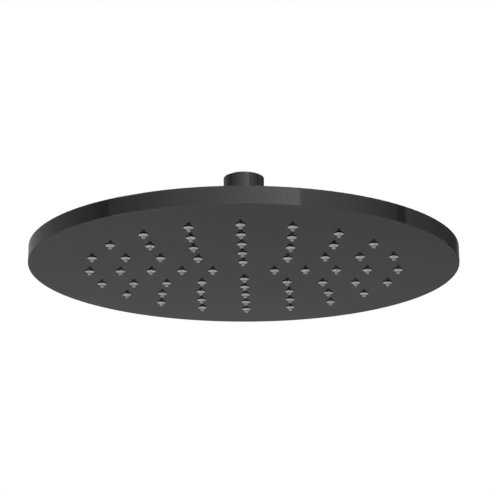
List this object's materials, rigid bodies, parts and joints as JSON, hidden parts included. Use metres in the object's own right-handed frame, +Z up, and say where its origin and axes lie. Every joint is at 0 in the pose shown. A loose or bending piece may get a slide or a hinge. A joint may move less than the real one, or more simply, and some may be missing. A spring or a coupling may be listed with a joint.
{
  "type": "shower head",
  "caption": "Round thin overhead shower head with rings of soft nozzles in its face, a ball swivel and a threaded inlet socket on its back.",
  "frame": {"origin": "middle of the inlet socket's mouth, on the thread's axis", "axes": "+Z points up out of the inlet socket, along its thread; the face and its nozzles look down. +X and +Y lie in the plane of the disc."},
  "size_m": [0.25, 0.25, 0.0594],
  "materials": {
    "gunmetal_plate": "polished",
    "bright_plate": "polished",
    "turned_brass": "satin",
    "stainless_steel": "satin",
    "moulded_waterway": "satin",
    "white_acetal": "satin",
    "regulator_plastic": "satin",
    "black_rubber": "matte",
    "grey_silicone": "satin"
  },
  "bodies": {
    "inlet": {"inlet_connector": "gunmetal_plate", "swivel_ball": "bright_plate", "inlet_washer": "black_rubber", "filter_screen": "stainless_steel", "flow_regulator": "regulator_plastic", "regulator_o_ring": "black_rubber"},
    "glide": {"glide_ring": "white_acetal"},
    "head": {"face_pan": "gunmetal_plate", "back_cover": "gunmetal_plate", "waterway_plate": "moulded_waterway", "chamber_o_ring": "black_rubber", "outer_screws": "stainless_steel", "inner_screws": "stainless_steel", "screw_seals": "black_rubber", "ball_socket": "turned_brass", "socket_o_ring": "black_rubber", "socket_lock_nut": "turned_brass", "cover_nut": "gunmetal_plate", "ball_seal": "black_rubber", "swivel_collar": "gunmetal_plate", "nozzles_ring_1": "grey_silicone", "nozzles_ring_2": "grey_silicone", "nozzles_ring_3": "grey_silicone", "nozzles_ring_4": "grey_silicone", "nozzles_ring_5": "grey_silicone"}
  },
  "joints": [
    {"name": "tilt", "type": "hinge", "parent": "inlet", "child": "glide", "pos_m": [0, 0, -0.034], "axis": [1, 0, 0], "range_deg": [-15, 15]},
    {"name": "spin", "type": "hinge", "parent": "glide", "child": "head", "pos_m": [0, 0, -0.034], "axis": [0, 0, 1], "continuous": true}
  ]
}
